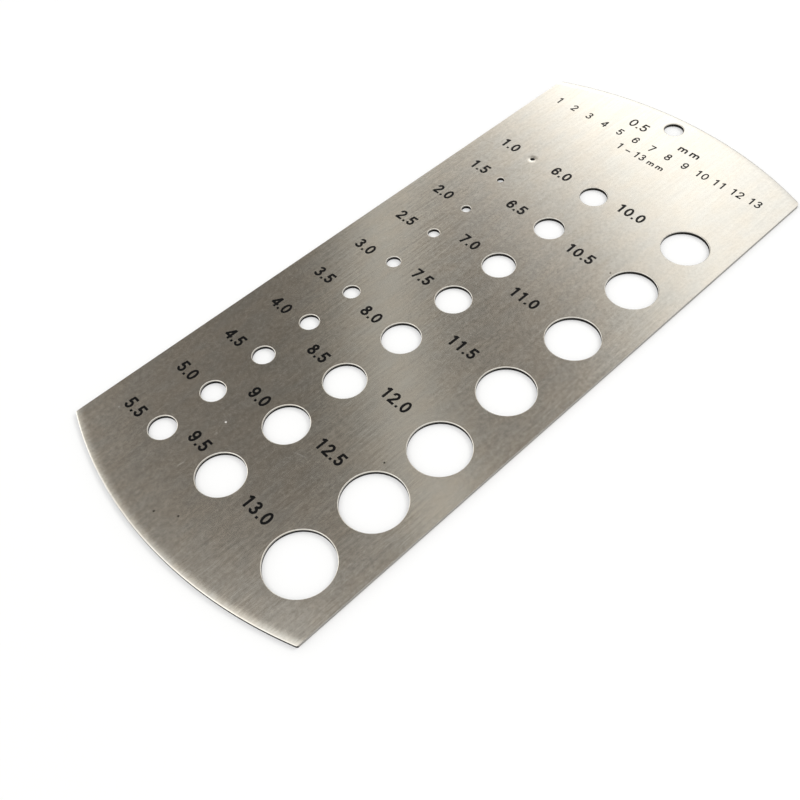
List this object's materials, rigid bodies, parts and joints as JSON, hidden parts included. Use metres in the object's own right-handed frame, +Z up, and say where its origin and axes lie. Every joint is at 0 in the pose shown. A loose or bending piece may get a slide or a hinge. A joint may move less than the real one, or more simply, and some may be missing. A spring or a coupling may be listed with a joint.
{
  "type": "drill size gauge",
  "caption": "Flat stainless steel drill gauge with arced ends, columns of numbered holes for finding a drill's size in millimetres, and a hanging hole.",
  "frame": {"origin": "middle of the plate on its underside", "axes": "+X across the plate from the smallest holes to the largest, +Y along it to the hanging hole, +Z up out of the marked face"},
  "size_m": [0.067, 0.155, 0.0008],
  "materials": {
    "stainless_sheet": "rolled stainless sheet with a fine lengthwise grain",
    "marking_ink": "matt black marked numbers"
  },
  "bodies": {
    "root": {"gauge_plate": "stainless_sheet"}
  },
  "joints": []
}
